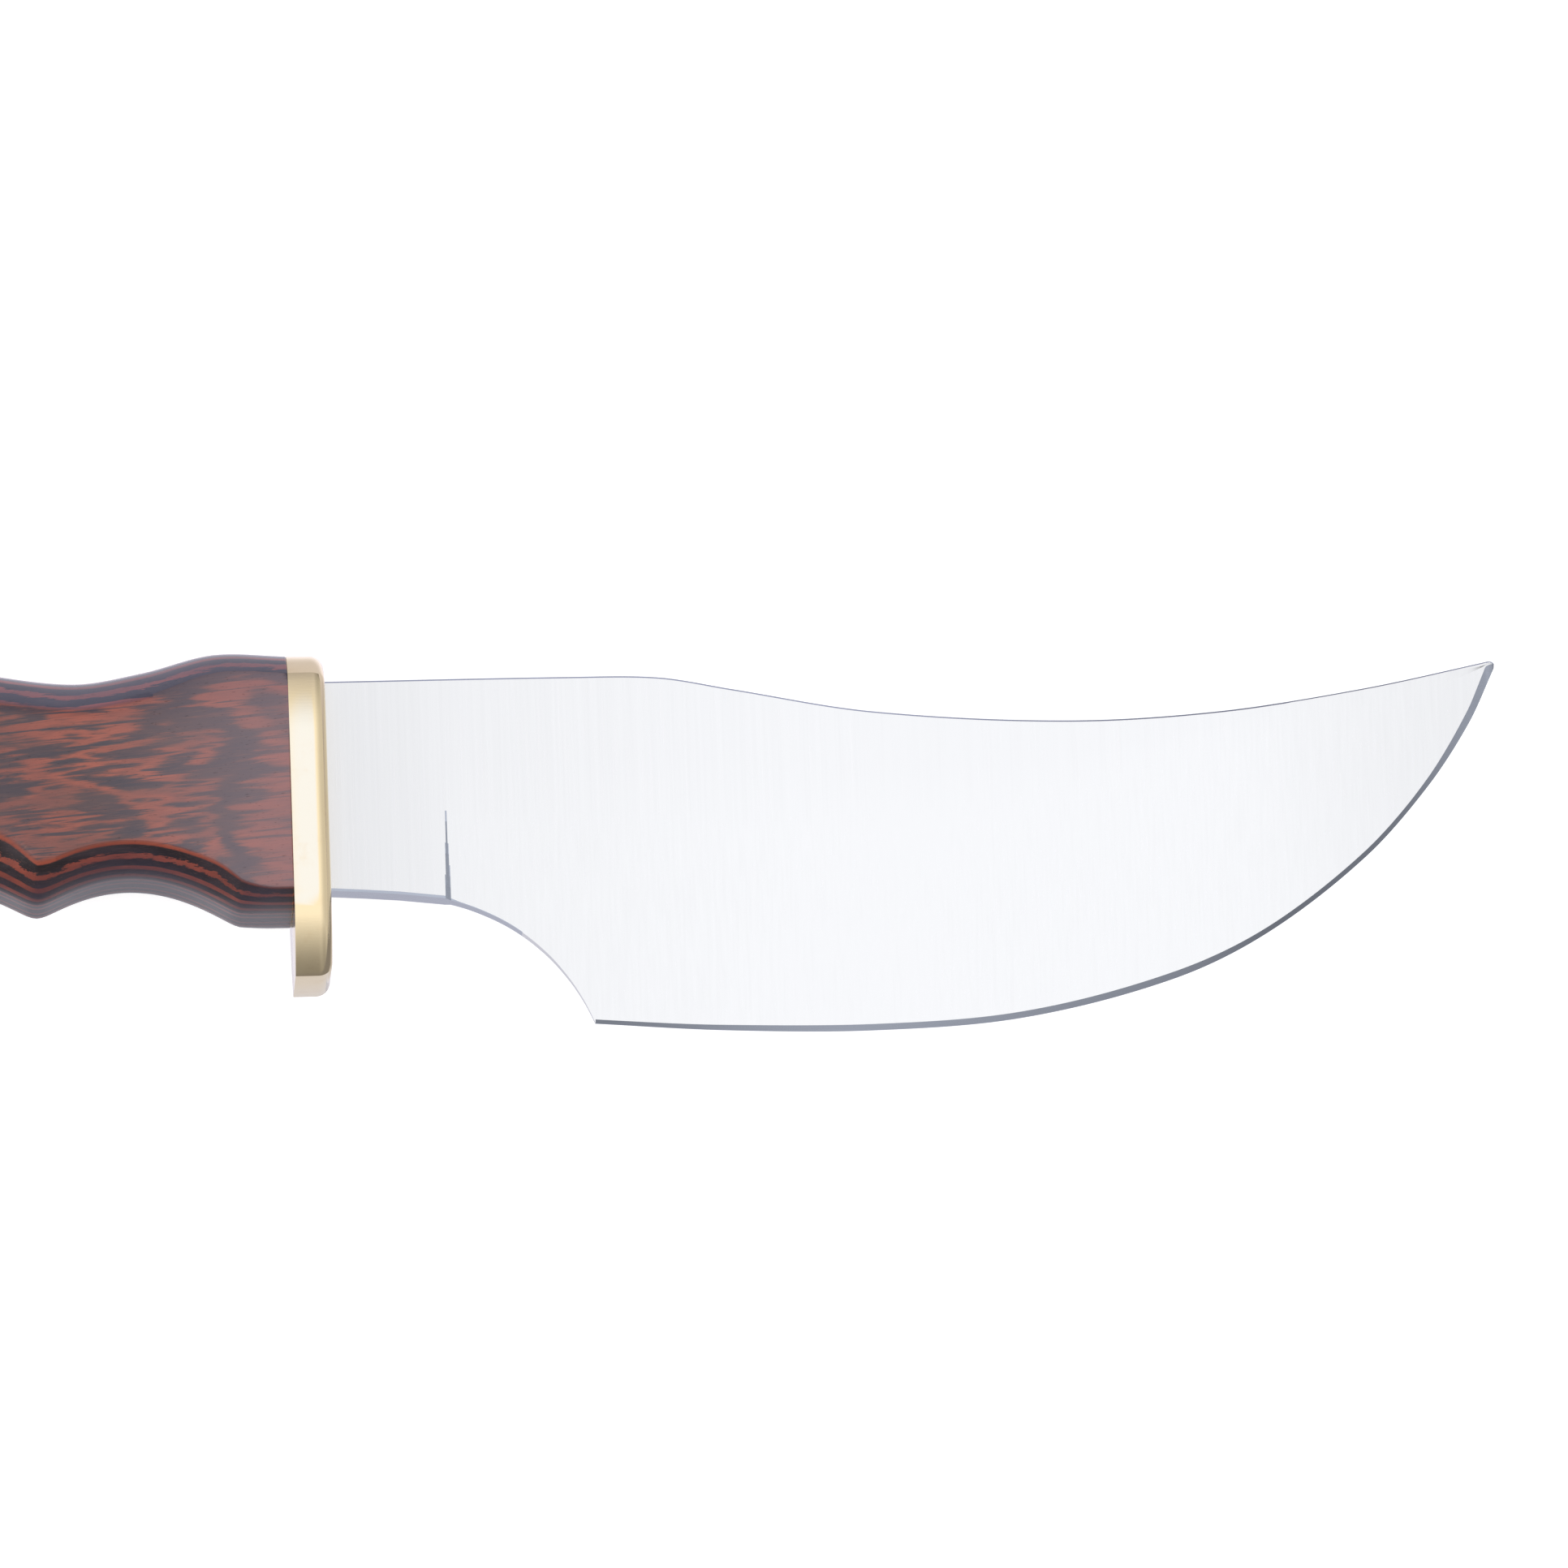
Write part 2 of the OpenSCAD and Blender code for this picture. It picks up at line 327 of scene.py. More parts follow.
def satin_steel(name, along, base, rough, contrast=1.0, shade=0.0):
    """Steel with fine brush marks that run along one axis of the knife.

    The contrast scales the brush marks, and the shade is a painted shade that darkens the steel
    towards the tip.
    """
    f = Finish(name)
    at = f.where()
    reach = (f.axes(at)[0] - ORIGIN.x) * (1.0 / (BLADE_LENGTH * MM))
    fine = [BRUSH_ACROSS, BRUSH_ACROSS, BRUSH_ACROSS]
    fine["XYZ".index(along)] = BRUSH_ALONG
    marks = f.noise(f.spread(at, fine), detail=3.0, rough=0.6)
    drags = f.noise(f.spread(at, [v * DRAG_SCALE for v in fine]), detail=2.0, rough=0.55)
    cloud = f.noise(at, scale=28.0, detail=3.0, rough=0.5)
    # Lighter through the middle of the blade and darker towards the tip.
    lengthwise_tone_and_guard_shade = reach.step(-0.1, 0.5) * 0.55 - reach.step(0.72, 1.02) * 0.62
    # Painted shade: a dark band just in front of the guard, standing in for the guard's shade on the
    # steel.
    lengthwise_tone_and_guard_shade = lengthwise_tone_and_guard_shade - (reach.step(0.0, 0.025) - reach.step(0.03, 0.13)) * 0.3
    tone = marks.swing(0.2) + drags.swing(0.5) + cloud.swing(0.3)
    colour = f.mix(tone * contrast + lengthwise_tone_and_guard_shade + 0.42, [c * BRUSHED_DARK for c in base], base)
    # Painted shade: the steel darkens over the belly towards the tip, easing off at the very tip.
    dusk = reach.step(0.42, 0.78) - reach.step(0.9, 1.0) * 0.7
    colour = f.mix(dusk * shade, colour, [c * DUSK_DARK for c in base])
    return f.surface(
        Base_Color=colour, Metallic=1.0,
        Roughness=marks.swing(0.16) + cloud.swing(0.05) + rough,
        Normal=f.bump(marks + drags * 0.8, strength=0.12, distance=0.02 * MM))


# ---- brass and resin ----

BRASS_ROUNDED = (0.92, 0.755, 0.485)
# Painted highlight: the paler colour of the flat faces.
BRASS_FLAT_HIGHLIGHT = (0.87, 0.82, 0.715)
BRASS_TARNISH = (0.82, 0.62, 0.36)
RESIN_DARK = (0.5, 0.42, 0.24)
RESIN_PALE = (0.6, 0.52, 0.34)


def polished_brass(name, rough, flat_highlight=1.0):
    """Buffed brass with a painted highlight: the flat faces are painted paler and brightest, and the
    rounded edges are a deeper yellow.
    """
    f = Finish(name)
    at = f.where()
    hairs = f.noise(f.spread(at, (700.0, 5200.0, 5200.0), turn=(0.4, 0.2, 0.7)),
                    detail=3.0, rough=0.65)
    waves = f.noise(f.spread(at, (260.0, 75.0, 150.0)), detail=1.0, rough=0.4, twist=0.4)
    tarnish = f.noise(at, scale=320.0, detail=4.0, rough=0.6)
    # Painted highlight on the faces that look straight out of the flat sides, scaled by the last
    # argument.
    painted_flat_highlight = abs(f.facing()[2]).step(0.978, 0.9995) * flat_highlight
    colour = f.mix(painted_flat_highlight, BRASS_ROUNDED, BRASS_FLAT_HIGHLIGHT)
    colour = f.mix(tarnish.step(0.5, 0.85) * 0.5, colour, BRASS_TARNISH)
    return f.surface(
        Base_Color=colour, Metallic=1.0,
        Roughness=hairs.swing(0.1) + tarnish.swing(0.08) + rough,
        Normal=f.bump(waves * 3.0 + hairs * 0.12, strength=0.3, distance=0.1 * MM))


def hardened_resin(name):
    """Amber resin, a little cloudy."""
    f = Finish(name)
    cloud = f.noise(f.where(), scale=600.0, detail=3.0, rough=0.5)
    return f.surface(Base_Color=f.mix(cloud, RESIN_DARK, RESIN_PALE),
                     Roughness=cloud.swing(0.2) + 0.35)


# ---- laminated wood ----

GRAIN_LEAN = math.radians(-4.5)
# Each pattern: its scale in x, y and z, its shift, and its detail, roughness and twist.
GRAIN = {
    "broad": ((60.0, 105.0, 90.0), (1.3, 0.7, 0), 2.0, 0.45, 0.6),
    "streaks": ((115.0, 1050.0, 300.0), (0.3, 0.2, 0), 4.0, 0.55, 0.3),
    "slits": ((85.0, 2000.0, 400.0), (5.1, 3.3, 0), 2.0, 0.5, 0.2),
    "tone": ((75.0, 260.0, 200.0), (7.7, 2.9, 1.0), 3.0, 0.55, 0.5),
    "fibre": ((420.0, 5600.0, 5600.0), (0, 0, 0), 3.0, 0.6, 0.0),
    "pores": ((1500.0, 7000.0, 7000.0), (0, 0, 0), 2.0, 0.5, 0.0),
}
FLAT_STOPS = [
    (0.0, (0.052, 0.042, 0.058)), (0.3, (0.085, 0.05, 0.058)), (0.5, (0.145, 0.062, 0.058)),
    (0.72, (0.26, 0.078, 0.056)), (1.0, (0.435, 0.108, 0.066))]
FLAT_BROWN = (0.125, 0.068, 0.065)
# Painted shade and painted sheen on the flat sides: darker far back from the guard, lilac-grey near
# it.
FLAT_PAINTED_SHADE = (0.08, 0.045, 0.055)
FLAT_PAINTED_SHEEN = (0.31, 0.235, 0.265)
RUST_BRIGHT = (0.37, 0.075, 0.042)
RUST_DEEP = (0.23, 0.05, 0.034)
BLACK_DEEP = (0.016, 0.007, 0.009)
BLACK_FADED = (0.04, 0.024, 0.03)
# Painted light on the rounded parts: crease highlight, crease shadow, top sheen and belly shade.
CREASE_PAINTED_HIGHLIGHT = (0.44, 0.075, 0.025)
CREASE_PAINTED_SHADOW = (0.03, 0.013, 0.016)
TOP_PAINTED_SHEEN = (0.17, 0.175, 0.27)
BELLY_SHADE = (0.047, 0.036, 0.07)
PORE_BLACK = (0.015, 0.01, 0.01)
FIBRE_TAN = (0.34, 0.17, 0.12)


class Veneers(Finish):
    """Dyed veneers: thin lines on the rounded parts, and feathered islands on the flat sides."""

    def __init__(self, name):
        """Finds where a point is in the block, and the grain there."""
        super().__init__(name)
        at = self.where()
        x, y, z = self.axes(at)
        self.rising, across = self.facing()[1:]
        self.under = (self.rising * -1.0).step(0.72, 0.98)
        self.rounded = 1.0 - abs(across).step(0.925, 0.965)
        self.upper = (y - ORIGIN.y).step(0.0, 0.005)
        self.depth = MID - abs(z - MID * MM) * (1.0 / MM)
        self.back = (ORIGIN.x + FRONT * MM - x) * (1.0 / MM)
        self.near_guard = 1.0 - self.back.step(1.0, 13.0)
        lean = self.spread(at, (1.0, 1.0, 1.0), turn=(0, 0, GRAIN_LEAN))
        for pattern, (scale, shift, detail, rough, twist) in GRAIN.items():
            field = self.noise(self.spread(lean, scale, shift=shift), 1.0, detail, rough, twist)
            setattr(self, pattern, field)

    def layers(self):
        """1 in the middle of a rust veneer and -1 in the middle of a black one."""
        depth, upper, near_guard = self.depth, self.upper, self.near_guard
        skimmed = 1.0 - depth.step(0.02, 0.8) * (1.0 - upper) - depth.step(0.35, 1.45) * upper
        flame = depth.step(0.9, 1.6) - depth.step(2.3, 3.1)
        drift = self.streaks.swing(3.4 - near_guard * 1.8) + self.broad.swing(4.6)
        drift = drift + near_guard * 1.75 + 0.38
        feather = (self.streaks - 0.5 + self.fibre.swing(0.6)) * flame * 1.8
        layer = depth + drift * (skimmed * 0.95 + 0.04) + feather
        return (layer * (math.pi / VENEER)).wave()

    def islands(self, ply):
        """The flat sides' colour, with its dark slits, a painted shade far back from the guard and a
        painted lilac sheen near the guard.
        """
        share = (ply + self.streaks.swing(2.2) + self.fibre.swing(1.2)).step(-1.5, 1.55)
        slit = self.slits.step(0.57, 0.65) * (1.0 - self.near_guard * 0.45)
        colour = self.colour_ramp(share * (1.0 - slit * 0.8), FLAT_STOPS)
        colour = self.mix(self.tone.step(0.42, 0.68) * 0.5, colour, FLAT_BROWN)
        colour = self.mix(self.back.step(20.0, 34.0) * 0.35, colour, FLAT_PAINTED_SHADE)
        return self.mix((1.0 - self.back.step(-2.0, 26.0)) * 0.46, colour, FLAT_PAINTED_SHEEN)

    def lines(self, ply):
        """The rounded parts' thin lines, rust and black in turn."""
        share = (ply - 0.24 + self.fibre.swing(0.3) + self.streaks.swing(0.7)).step(-0.22, 0.35)
        rust = self.mix(self.tone.step(0.35, 0.65), RUST_BRIGHT, RUST_DEEP)
        black = self.mix(self.tone.step(0.4, 0.6), BLACK_DEEP, BLACK_FADED)
        return self.mix(share, black, rust)

    def lit(self, lines):
        """The lines, with painted light: orange highlight by the lower crease, shadow by the upper
        one, lilac sheen on top, shade below.
        """
        depth, upper, rising = self.depth, self.upper, self.rising
        glow = (1.0 - depth.step(0.4, 0.85)) * (1.0 - upper)
        glow = glow * (self.streaks.step(0.3, 0.5) * 0.35 + 0.5)
        shadow = (1.0 - depth.step(0.3, 0.9)) * upper
        sheen = rising.step(0.12, 0.5) - rising.step(0.72, 0.97) * 0.8
        lines = self.mix(glow, lines, CREASE_PAINTED_HIGHLIGHT)
        lines = self.mix(shadow * 0.8, lines, CREASE_PAINTED_SHADOW)
        lines = self.mix(sheen * 0.3, lines, TOP_PAINTED_SHEEN)
        return self.mix(self.under * 0.5, lines, BELLY_SHADE)


def laminated_wood(name):
    """The handle's veneers under a thin clear coat, with open pores and raised fibres."""
    f = Veneers(name)
    ply = f.layers()
    speck = f.pores.step(0.62, 0.75)
    colour = f.mix(f.depth.step(0.2, 0.7) * f.rounded, f.islands(ply), f.lit(f.lines(ply)))
    colour = f.mix(speck * 0.4, colour, PORE_BLACK)
    colour = f.mix(f.fibre.step(0.5, 0.8) * 0.17, colour, FIBRE_TAN)
    return f.surface(
        Base_Color=colour, Roughness=f.fibre.swing(0.12) + speck * 0.1 + f.under * 0.12 + 0.4,
        Coat_Weight=0.62 - speck * 0.3 - f.under * 0.2, Coat_Roughness=0.05, Coat_IOR=1.42,
        IOR=1.4, Normal=f.bump(f.fibre * 0.5 - speck, strength=0.1, distance=0.03 * MM))


# ---- blade ----

BLADE_LENGTH = 133.0
BLADE_THICKNESS = 3.5
GRIND_START = 13.1
EDGE_BEVEL = 0.42
EDGE_THICKNESS = 0.7
EDGE_HALF = 0.05
HEEL = 29.6
PLUNGE = 0.62
PLUNGE_SLOPE = 0.92
TIP_ROUND = 0.9
TIP_FALL = 0.6
THINNING_START = 108
THINNING = 0.72
SPINE_BREAK = 0.2
BREAK_SHARE = 0.3
SPINE_LEDGE = 0.4
LEDGE_SHARE = 0.12
FLAT_SHARE = 0.4
STRIP_LIMIT = 0.8
LEAST_GRIND = 0.02
CHOIL_GLINT_END = 21.5
CHOIL_STRIP = 0.3
CHOIL_STRIP_LOSS = 0.22
CLIMB_REACH = 0.2
RIM_DEPTH = 0.16
TANG_LENGTH = 86.0
TANG_HEIGHT = 10.0
TANG_END_HEIGHT = 8.0
TANG_SETBACK = 0.4
GRIND_STEPS = 8
PLUNGE_STEPS = 6
CHOIL_STEPS = 30
BELLY_STEPS = 120
BEVEL_CHANGES = [(0.24, HEEL, 58), (0.04, 80, 92), (-0.2, 94, 108), (0.42, 122, BLADE_LENGTH)]
SPINE = [(0, 11.8), (28, 11.7), (38, 11.4), (46, 9.9), (62, 6.9), (84, 5.3), (102, 6), (118, 8.3),
         (133, 11.4)]
BELLY = [(29.6, -28.1), (44, -29.2), (61, -29.65), (78, -28.6), (95, -24.6), (106, -19.5),
         (117.5, -11), (125, -2.9), (130, 4.4), (133, 10.5)]
CHOIL = [(0, -12.4), (7, -12.9), (13.1, -13.6), (17, -14.9), (21, -17.1), (24.5, -20.1), (27, -23.2),
         (28.6, -25.9), (29.6, -28.1)]
GRIND = [(0, -3.2), (45, -4.1), (62, -4.3), (78, -2.6), (92, 0.7), (103, 4), (110.5, 6.9), (133, 16)]


def spine_height(x):
    """The back of the blade, which rounds over at the very tip."""
    into = clamped((x - BLADE_LENGTH + TIP_ROUND) / TIP_ROUND)
    return height(SPINE, x) - TIP_ROUND * TIP_FALL * (1 - math.sqrt(1 - into * into))


def low_height(x):
    """The lowest point of the blade: the finger choil, and then the sharpened belly."""
    return height(BELLY if x >= HEEL else CHOIL, x)


def spine_half(x):
    """Half of the steel's thickness above the grind, which thins towards the tip."""
    along = clamped((x - THINNING_START) / (BLADE_LENGTH - THINNING_START))
    return BLADE_THICKNESS / 2 * (1 - THINNING * along)


def ground_half(x, y):
    """Half of the steel's thickness in the ground part."""
    foot, top = height(BELLY, max(x, HEEL)), height(GRIND, x)
    down = clamped((top - y) / (top - foot))
    return spine_half(x) + (EDGE_THICKNESS / 2 - spine_half(x)) * down


def shoulder_height(x):
    """Where the sharpened strip begins, which keeps its width as the edge climbs to the tip."""
    low = low_height(x)
    if x < HEEL:
        return low + CHOIL_STRIP - CHOIL_STRIP_LOSS * ramp(x, GRIND_START, GRIND_START + 2)
    ahead, behind = min(x + CLIMB_REACH, BLADE_LENGTH), x - CLIMB_REACH
    climb = (height(BELLY, ahead) - height(BELLY, behind)) / (2 * CLIMB_REACH)
    width = changing(EDGE_BEVEL, BEVEL_CHANGES, x)
    return low + min(width * math.hypot(1, climb), (spine_height(x) - low) * STRIP_LIMIT)


def blade_ring(x):
    """The blade's outline across its thickness at x."""
    top, low, shoulder, half = spine_height(x), low_height(x), shoulder_height(x), spine_half(x)
    ledge = min(SPINE_LEDGE, (top - low) * LEDGE_SHARE)
    line = max(min(height(GRIND, x), top - ledge), shoulder + LEAST_GRIND)
    past = (x - GRIND_START - PLUNGE / 2) * PLUNGE_SLOPE

    def thick(y):
        depth = half - ground_half(x, y)
        return half - min(max(depth / 2 + past, 0.0), depth)

    edge = EDGE_HALF if x >= HEEL else thick(low)
    broken = min(SPINE_BREAK, half * BREAK_SHARE, (top - line) * FLAT_SHARE)
    side = [(top, 0.0), (top, half - broken), (top - broken, half)]
    side += [(line + (top - line) * FLAT_SHARE, half), (line, half)]
    for k in range(1, GRIND_STEPS + 1):
        y = line + (shoulder - line) * k / GRIND_STEPS
        side.append((y, thick(y)))
    side += [(low, edge), (low, 0.0)]
    ring = [(x, y, MID + z) for y, z in side]
    return ring + [(x, y, MID - z) for y, z in reversed(side[1:-1])]


def blade_stations():
    """Where the blade's rings stand, closer together at the plunge and the tip."""
    first, last = GRIND_START + PLUNGE, HEEL - HAIR
    stations = [0, 4, 8, GRIND_START - 0.1]
    stations += [GRIND_START + PLUNGE * k / PLUNGE_STEPS for k in range(PLUNGE_STEPS + 1)]
    stations += [first + (last - first) * k / CHOIL_STEPS for k in range(1, CHOIL_STEPS + 1)]
    for k in range(BELLY_STEPS + 1):
        share = math.sin(math.radians(90 * k / BELLY_STEPS)) ** 1.25
        stations.append(HEEL + (BLADE_LENGTH - HEEL) * share)
    return stations


def draw_tang(blade):
    """Draws the hidden tang out of the blade's root."""
    edit(blade, "FACE")
    root, centre = place(0, 0, 0).x, place(0, 0, MID)
    pick(blade, lambda p: p.normal.x < -SQUARE_ON and p.center.x < root + MM)
    bpy.ops.mesh.inset(thickness=TANG_SETBACK * MM)
    tall = height(SPINE, 0) - height(CHOIL, 0)
    middle = (height(SPINE, 0) + height(CHOIL, 0)) / 2
    bpy.ops.transform.resize(value=(1, TANG_HEIGHT / (tall - 2 * TANG_SETBACK), 1),
                             center_override=centre + Vector((0, middle * MM, 0)))
    bpy.ops.transform.translate(value=(0, -middle * MM, 0))
    bpy.ops.mesh.extrude_region_move(TRANSFORM_OT_translate={"value": (-TANG_LENGTH * MM, 0, 0)})
    bpy.ops.transform.resize(value=(1, TANG_END_HEIGHT / TANG_HEIGHT, 1), center_override=centre)
    face_outward()


def make_blade():
    blade = skin("blade_steel", [blade_ring(x) for x in blade_stations()])
    draw_tang(blade)
    smooth(blade, degrees=9)
    return blade


def takes_shaded_edge_steel(face):
    """Whether a face is on the sharpened strip, the spine's broken edges or the plunge's wall, which
    take the edge steel: ground across, and painted darker and bluer as shade and reflection.
    """
    spot = (face.center - ORIGIN) / MM
    nearest = clamped(spot.x / BLADE_LENGTH) * BLADE_LENGTH
    rim = spot.y > spine_height(nearest) - RIM_DEPTH and face.normal.y < SQUARE_ON
    strip = 0 < spot.x < CHOIL_GLINT_END or spot.x > HEEL - HAIR
    strip = strip and spot.y < shoulder_height(min(spot.x, BLADE_LENGTH)) - LEAST_GRIND
    wall = GRIND_START < spot.x < GRIND_START + PLUNGE and abs(face.normal.x) > 0.1
    return rim or strip or wall


# ---- handle ----

HANDLE_LENGTH = 115.0
END = FRONT - HANDLE_LENGTH
CROWN = 3.0
TOP = [(x + FRONT, y) for x, y in (
    (-115, 10.3), (-100, 12.7), (-78, 15.3), (-56, 15.6), (-37, 13.5), (-24.3, 11.7), (-16.3, 12.8),
    (-8.3, 14.7), (0, 14.35))]
CUSPS = [(x + FRONT, y) for x, y in (
    (-115, -16.8), (-98.4, -17.6), (-75.2, -14.3), (-52, -13.7), (-28.8, -13.65), (-5.6, -15.15),
    (0, -15.25))]
GROOVE_FRONT = 5.6
GROOVE_BACK = 98.4
GROOVE_COUNT = 4
GROOVE_DEPTH = 3.3
CUSP_SOFT_SIDE = 0.12
CUSP_SOFT_MIDDLE = 1.1
BUTT_ROUND = 11.0
BUTT_MIDDLE = -3.2
BUTT_SETBACK = 3.0
BUTT_END = 0.9995
TOP_FALL = 3.2
TOP_FALL_CHANGES = [(1.4, 4, 24), (1.2, 24, 70)]
BOTTOM_FALL = 1.65
BOTTOM_FALL_CHANGES = [(1.5, 2, 9), (1.95, 26.3, 33)]
EASING_START = 8
EASING_END = 24
EASED_DEPTH = 1.1
EASED_HEIGHT = 8.2
PLAIN_DEPTH = 0.22
PLAIN_HEIGHT = 1.3
LOW_SOFT_DEPTH = 0.3
LOW_SOFT_HEIGHT = 1.5
CROWN_STEPS = 3
TOP_STEPS = 12
EASED_STEPS = 8
SIDE_STEPS = 15
LOW_SOFT_STEPS = 6
BOTTOM_STEPS = 12
FRONT_CHAMFER = 0.12
CHAMFER_CLEAR = 0.5
FRONT_STEP = 0.15
LENGTH_STEPS = 200
BUTT_STEPS = 24
BUTT_EDGE = 0.35
ROUND_SIDES = 64
DRILL_LENGTH = 1.2
TUBE_WALL = 0.8
MOUTH_ROUND = 0.2


def groove(x, soft):
    """How far the finger grooves cut into the belly, with their cusps rounded by soft."""
    u = clamped((FRONT - x - GROOVE_FRONT) / (GROOVE_BACK - GROOVE_FRONT)) * GROOVE_COUNT
    f = u - math.floor(u)
    sharp = 4 * (GROOVE_DEPTH + soft) * f * (1 - f)
    return math.sqrt(sharp**2 + soft**2) - soft


def butt_shrink(x):
    """How the section closes in over the rounded butt."""
    return math.sqrt(1 - (BUTT_END * clamped((END + BUTT_ROUND - x) / BUTT_ROUND)) ** 2)


def upper_section(x):
    """From the middle of the top, over the rounded back and the upper crease, to the flat side."""
    easing = 1 - ramp(FRONT - x, EASING_START, EASING_END)
    ease = PLAIN_DEPTH + (EASED_DEPTH - PLAIN_DEPTH) * easing
    reach = PLAIN_HEIGHT + (EASED_HEIGHT - PLAIN_HEIGHT) * easing
    top, fall = height(TOP, x), changing(TOP_FALL, TOP_FALL_CHANGES, FRONT - x)
    points = [(top, CROWN * k / CROWN_STEPS) for k in range(CROWN_STEPS)]
    for k in range(TOP_STEPS + 1):
        s = k / TOP_STEPS
        points.append((top - fall * s * s, CROWN + s * (MID - ease - CROWN)))
    for k in range(1, EASED_STEPS + 1):
        t = k / EASED_STEPS
        points.append((top - fall - reach * t, MID - ease * (1 - t) ** 2))
    return points


def lower_section(x):
    """From the flat side, over the lower crease and the rounded belly, to the middle of a groove."""
    base, fall = height(CUSPS, x), changing(BOTTOM_FALL, BOTTOM_FALL_CHANGES, FRONT - x)
    side_low = base + groove(x, CUSP_SOFT_SIDE) + fall + LOW_SOFT_HEIGHT
    points = []
    for k in range(LOW_SOFT_STEPS):
        t = k / LOW_SOFT_STEPS
        points.append((side_low - LOW_SOFT_HEIGHT * t, MID - LOW_SOFT_DEPTH * t * t))
    for k in range(BOTTOM_STEPS, -1, -1):
        s = k / BOTTOM_STEPS
        soft = CUSP_SOFT_SIDE + (CUSP_SOFT_MIDDLE - CUSP_SOFT_SIDE) * (1 - s)
        points.append((base + groove(x, soft) + fall * s * s,
                       CROWN + s * (MID - LOW_SOFT_DEPTH - CROWN)))
    low = base + groove(x, CUSP_SOFT_MIDDLE)
    return points + [(low, CROWN * k / CROWN_STEPS) for k in range(CROWN_STEPS - 1, -1, -1)]


def section(x):
    """Half of the handle's outline at x, from the middle of its top round one side."""
    upper, lower = upper_section(x), lower_section(x)
    side_top, side_low = upper[-1][0], lower[0][0]
    side = [(side_top + (side_low - side_top) * k / SIDE_STEPS, MID) for k in range(1, SIDE_STEPS)]
    return upper + side + lower


def handle_ring(x):
    """The handle's whole outline at x, chamfered at the guard and closed in over the butt."""
    chamfer = FRONT_CHAMFER if x > FRONT - HAIR else 0.0
    shrink = butt_shrink(x)
    late = ramp(-x, -END - 2 * BUTT_ROUND, -END)
    half = []
    for y, dz in section(x):
        bulge = clamped((dz - CROWN) / (MID - CROWN)) ** 2
        y = BUTT_MIDDLE + (y - BUTT_MIDDLE) * shrink
        if dz < MID - CHAMFER_CLEAR:
            y -= math.copysign(chamfer, y)
        half.append((x + BUTT_SETBACK * bulge * late, y, min(dz, MID - chamfer)))
    ring = [(px, y, MID + dz) for px, y, dz in half]
    return ring + [(px, y, MID - dz) for px, y, dz in reversed(half[1:-1])]


def handle_stations():
    """Where the handle's rings stand, closer together over the butt."""
    first, straight = FRONT - FRONT_STEP, END + BUTT_ROUND
    stations = [FRONT, first]
    stations += [first + (straight - first) * k / LENGTH_STEPS for k in range(1, LENGTH_STEPS + 1)]
    for k in range(1, BUTT_STEPS + 1):
        stations.append(straight - BUTT_ROUND * math.sin(math.radians(90 * k / BUTT_STEPS)))
    return stations


def make_handle():
    handle = skin("laminated_handle", [handle_ring(x) for x in handle_stations()])
    edit(handle, "FACE")
    butt = place(END + BUTT_ROUND, 0, 0).x
    pick(handle, lambda p: len(p.vertices) > 4 and p.center.x < butt)
    bpy.ops.mesh.quads_convert_to_tris(quad_method="BEAUTY", ngon_method="BEAUTY")
    done()
    break_edges(handle, BUTT_EDGE, degrees=28)
    for node in ("cross_pins", "lanyard_tube"):
        bore(handle, node)
    smooth(handle, degrees=35)
    return handle


def bore(handle, node):
    """Cuts the handle's holes for a CAD node's round pieces."""
    low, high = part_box(node)
    radius = (high.y - low.y) / 2
    middle = (low.y + high.y) / 2
    for x in {round(low.x + radius, 6), round(high.x - radius, 6)}:
        bpy.ops.mesh.primitive_cylinder_add(
            vertices=ROUND_SIDES, radius=radius, depth=HANDLE_WIDTH * MM * DRILL_LENGTH,
            location=(x, middle, MID * MM))
        drill = bpy.context.object
        modify(handle, "BOOLEAN", operation="DIFFERENCE", object=drill, solver="EXACT")
        bpy.data.objects.remove(drill)


# ---- pins and lanyard tube ----

def rod(name, x, y, radius):
    """A round brass rod right across the handle."""
    bpy.ops.mesh.primitive_cylinder_add(
        vertices=ROUND_SIDES, radius=radius, depth=HANDLE_WIDTH * MM, location=(x, y, MID * MM))
    piece = bpy.context.object
    piece.name = piece.data.name = name
    bpy.ops.object.transform_apply(location=True, rotation=True, scale=True)
    return piece


def soften_mouths(piece):
    """Rounds over the ends of a rod or a tube."""
    break_edges(piece, MOUTH_ROUND, degrees=40)
    smooth(piece, degrees=40)


def make_pins():
    """The two cross pins, which are one piece."""
    low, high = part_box("cross_pins")
    radius, middle = (high.y - low.y) / 2, (low.y + high.y) / 2
    pins = rod("cross_pins_brass", low.x + radius, middle, radius)
    other = rod("second_pin", high.x - radius, middle, radius)
    choose(pins)
    other.select_set(True)
    bpy.ops.object.join()
    soften_mouths(pins)
    return pins


def make_tube():
    """The hole's lining: a ring of brass whose two mouths are rounded inside and out."""
    low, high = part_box("lanyard_tube")
    radius = (high.y - low.y) / 2
    tube = rod("lanyard_tube_brass", low.x + radius, low.y + radius, radius)
    edit(tube, "FACE")
    pick(tube, lambda p: abs(p.normal.z) > SQUARE_ON)
    bpy.ops.mesh.inset(thickness=TUBE_WALL * MM)
    bpy.ops.mesh.bridge_edge_loops()
    face_outward()
    soften_mouths(tube)
    return tube


# ---- guard ----

GUARD_LEAN = math.radians(52)
GUARD_END_WIDTH = 11.5
GUARD_ARC = (MID - GUARD_END_WIDTH / 2) / (1 - math.cos(GUARD_LEAN))
GUARD_ARC_STEPS = 12
GUARD_FRONT_ROUND = 1.6
GUARD_BACK_ROUND = 0.7
GUARD_EDGE = 0.28
FOOT_CLEAR = 0.6


